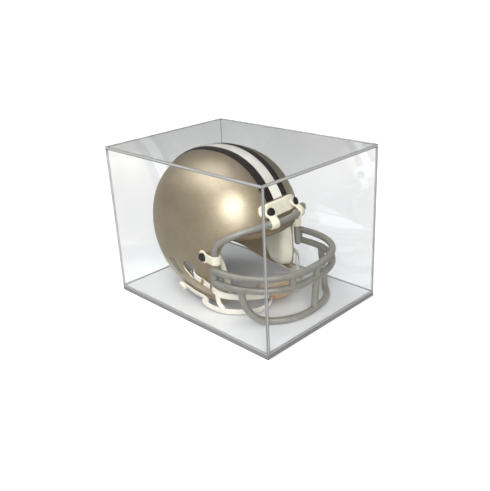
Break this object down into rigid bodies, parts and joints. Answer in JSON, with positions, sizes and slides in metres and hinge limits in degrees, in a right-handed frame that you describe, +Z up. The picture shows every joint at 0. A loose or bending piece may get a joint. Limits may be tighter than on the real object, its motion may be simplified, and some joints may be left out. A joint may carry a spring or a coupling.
{
  "type": "football display case",
  "caption": "Clear rectangular display case with a lift-off cover over a flat base, holding a half-scale football helmet with face mask, pads and chin strap.",
  "frame": {"origin": "centre of the base plate's underside, on the surface that the case stands on", "axes": "+X along the case's length, the way the helmet faces; +Y to the helmet's left; +Z up"},
  "size_m": [0.208, 0.154, 0.154],
  "materials": {
    "base_acrylic": "clear cast acrylic over a frosted underside",
    "clear_acrylic": "clear cast acrylic with polished edges",
    "shell_paint": "moulded plastic with champagne gold metallic paint under clear lacquer",
    "stripe_white": "gloss vinyl",
    "stripe_dark": "gloss vinyl, near-black brown",
    "cream_plastic": "moulded vinyl, satin",
    "mask_grey": "dipped vinyl over wire, satin",
    "black_plastic": "gloss black",
    "nickel": "nickel plated",
    "pad_cream": "soft vinyl over foam",
    "pad_tan": "soft vinyl over foam",
    "pad_grey": "soft vinyl over foam",
    "cup_tan": "moulded plastic",
    "cup_liner": "thin foam",
    "brass": "satin",
    "strap_web": "woven webbing with a soft vinyl coat"
  },
  "bodies": {
    "root": {"case_base": "base_acrylic", "helmet_shell": "shell_paint", "stripe_center": "stripe_white", "stripe_left": "stripe_dark", "stripe_right": "stripe_dark", "brow_plate": "cream_plastic", "neck_trim": "cream_plastic", "face_mask": "mask_grey", "clip_front_left": "cream_plastic", "clip_front_right": "cream_plastic", "clip_side_left": "cream_plastic", "clip_side_right": "cream_plastic", "clip_screws": "black_plastic", "clip_nuts": "nickel", "front_pad": "pad_tan", "crown_pad": "pad_tan", "back_pad": "pad_grey", "side_pad_left": "pad_grey", "side_pad_right": "pad_grey", "jaw_pad_left": "pad_cream", "jaw_pad_right": "pad_cream", "chin_cup": "cup_tan", "chin_cup_liner": "cup_liner", "upper_strap_left": "strap_web", "upper_strap_right": "strap_web", "lower_strap_left": "strap_web", "lower_strap_right": "strap_web", "strap_slide_left": "brass", "strap_slide_right": "brass", "strap_snap_left": "cream_plastic", "strap_snap_right": "cream_plastic", "snap_studs": "nickel"},
    "cover": {"cover_top": "clear_acrylic", "cover_front": "clear_acrylic", "cover_back": "clear_acrylic", "cover_left": "clear_acrylic", "cover_right": "clear_acrylic"}
  },
  "joints": [
    {"name": "cover_lift", "type": "slide", "parent": "root", "child": "cover", "axis": [0, 0, 1], "range_m": [0, 0.16]}
  ]
}
